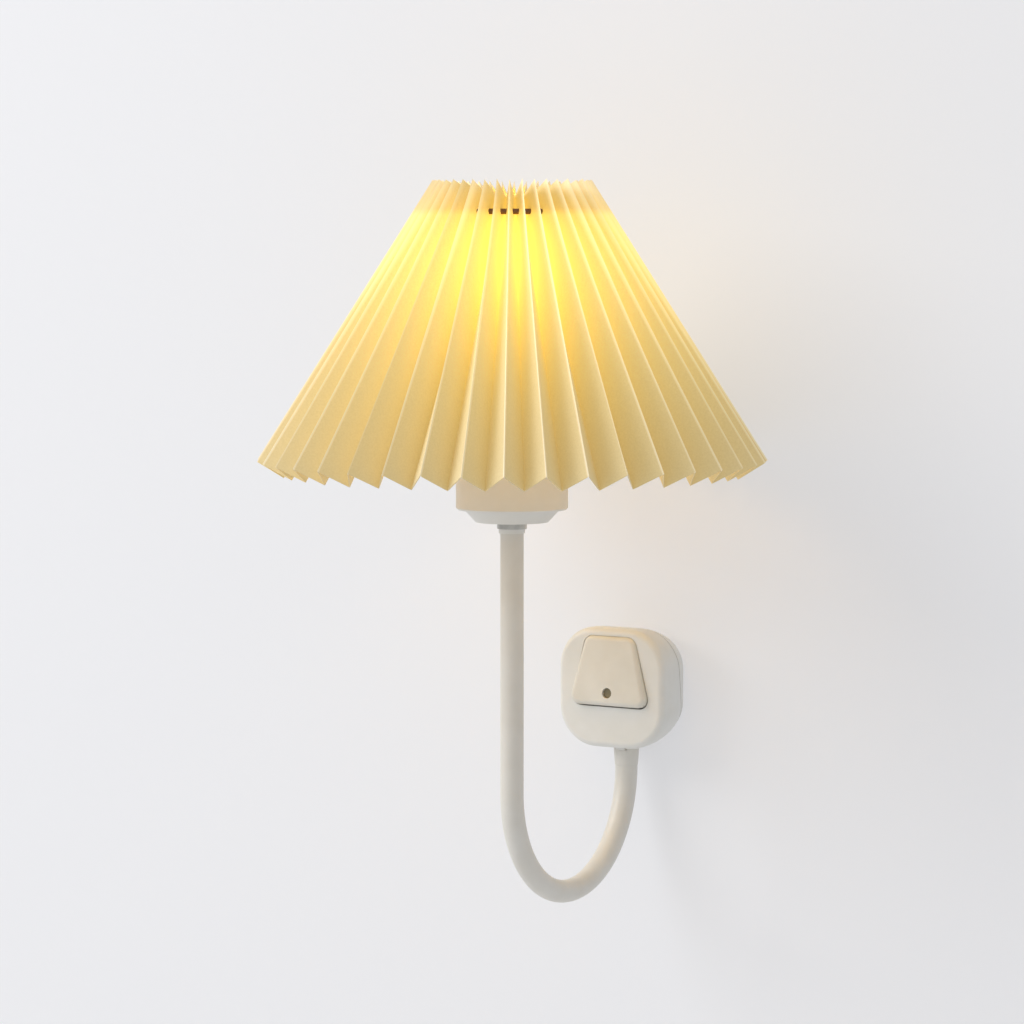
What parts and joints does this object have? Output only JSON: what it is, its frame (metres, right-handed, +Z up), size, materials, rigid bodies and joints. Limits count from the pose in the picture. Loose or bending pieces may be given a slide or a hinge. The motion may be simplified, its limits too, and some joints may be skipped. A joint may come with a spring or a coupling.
{
  "type": "plug-in gooseneck wall light",
  "caption": "Plug-in wall light: rounded plug with a rocking switch paddle, flexible neck bent into a U, lamp holder and an accordion-pleated cone shade.",
  "frame": {"origin": "middle of the plug's back face, which lies on the wall outlet", "axes": "+Z up along the wall, +Y into the wall, +X to the right for someone who faces the wall"},
  "size_m": [0.2246, 0.2443, 0.3282],
  "materials": {
    "ivory_plastic": "satin moulded",
    "white_plastic": "satin moulded",
    "carrier_plastic": "matt moulded",
    "switch_plastic": "matt moulded",
    "blade_brass": "bare, rolled",
    "contact_brass": "bare, pressed",
    "plated_steel": "zinc plated",
    "core_steel": "plain",
    "nickel": "satin nickel plate",
    "clip_steel": "satin",
    "lens_plastic": "clear, unlit",
    "sleeve_pvc": "soft gloss",
    "flex_pvc": "matt",
    "socket_ceramic": "glazed",
    "frame_wire": "brown lacquer",
    "shade_fabric": "coated pleated cloth",
    "bulb_metal": "plain",
    "bulb_plastic": "gloss",
    "bulb_diffuser": "opal"
  },
  "bodies": {
    "plug": {"rear_cover": "ivory_plastic", "front_housing": "ivory_plastic", "pin_carrier": "carrier_plastic", "live_blade": "blade_brass", "neutral_blade": "blade_brass", "housing_screws": "plated_steel", "switch_module": "switch_plastic", "pivot_pin": "plated_steel", "outlet_bush": "white_plastic"},
    "paddle": {"switch_paddle": "ivory_plastic", "indicator_lens": "lens_plastic"},
    "plunger": {"switch_plunger": "white_plastic"},
    "neck_base": {"neck_stem": "core_steel", "neck_boot": "white_plastic", "boot_clip": "clip_steel", "neck_sleeve": "sleeve_pvc", "inner_flex": "flex_pvc"},
    "neck_1": {"neck_link_1": "core_steel"},
    "neck_2": {"neck_link_2": "core_steel"},
    "neck_3": {"neck_link_3": "core_steel"},
    "neck_4": {"neck_link_4": "core_steel"},
    "neck_5": {"neck_link_5": "core_steel"},
    "head": {"neck_link_top": "core_steel", "hose_ferrule": "white_plastic", "ferrule_nut": "nickel", "holder_nipple": "plated_steel", "nipple_locknut": "plated_steel", "holder_lower_cap": "ivory_plastic", "holder_cup": "ivory_plastic", "socket_body": "socket_ceramic", "socket_shell": "contact_brass", "centre_contact": "contact_brass", "shade_ring_nut": "ivory_plastic", "shade_frame": "frame_wire", "shade_pleats": "shade_fabric", "bulb_cap": "bulb_metal", "bulb_body": "bulb_plastic", "bulb_globe": "bulb_diffuser"}
  },
  "joints": [
    {"name": "paddle_press", "type": "hinge", "parent": "plug", "child": "paddle", "pos_m": [0, -0.023, 0.0205], "axis": [1, 0, 0], "range_deg": [0, 4], "stiffness_Nm_per_rad": 1, "springref_deg": -1.15},
    {"name": "plunger_push", "type": "slide", "parent": "plug", "child": "plunger", "axis": [0, 1, 0], "range_m": [0, 0.00077]},
    {"name": "neck_swivel", "type": "hinge", "parent": "plug", "child": "neck_base", "pos_m": [0, -0.0125, -0.028], "axis": [0, 0, 1], "range_deg": [-10, 10]},
    {"name": "neck_bend_1", "type": "hinge", "parent": "neck_base", "child": "neck_1", "pos_m": [0, -0.02224, -0.06798], "axis": [1, 0, 0], "range_deg": [0, 10], "deforming": ["neck_sleeve", "inner_flex"]},
    {"name": "neck_bend_2", "type": "hinge", "parent": "neck_1", "child": "neck_2", "pos_m": [0, -0.05817, -0.08872], "axis": [1, 0, 0], "range_deg": [0, 10]},
    {"name": "neck_bend_3", "type": "hinge", "parent": "neck_2", "child": "neck_3", "pos_m": [0, -0.09763, -0.0759], "axis": [1, 0, 0], "range_deg": [0, 10]},
    {"name": "neck_bend_4", "type": "hinge", "parent": "neck_3", "child": "neck_4", "pos_m": [0, -0.1145, -0.038], "axis": [1, 0, 0], "range_deg": [0, 10]},
    {"name": "head_tilt_1", "type": "hinge", "parent": "neck_4", "child": "neck_5", "pos_m": [0, -0.1145, 0.002], "axis": [1, 0, 0], "range_deg": [0, 12]},
    {"name": "head_tilt_2", "type": "hinge", "parent": "neck_5", "child": "head", "pos_m": [0, -0.1145, 0.042], "axis": [1, 0, 0], "range_deg": [0, 12]}
  ],
  "couplings": [
    {"joint": "plunger_push", "follows": "paddle_press", "m_per_rad": 0.011},
    {"joint": "neck_bend_2", "follows": "neck_bend_1", "ratio": 1},
    {"joint": "neck_bend_3", "follows": "neck_bend_1", "ratio": 1},
    {"joint": "neck_bend_4", "follows": "neck_bend_1", "ratio": 1},
    {"joint": "head_tilt_2", "follows": "head_tilt_1", "ratio": 1}
  ]
}
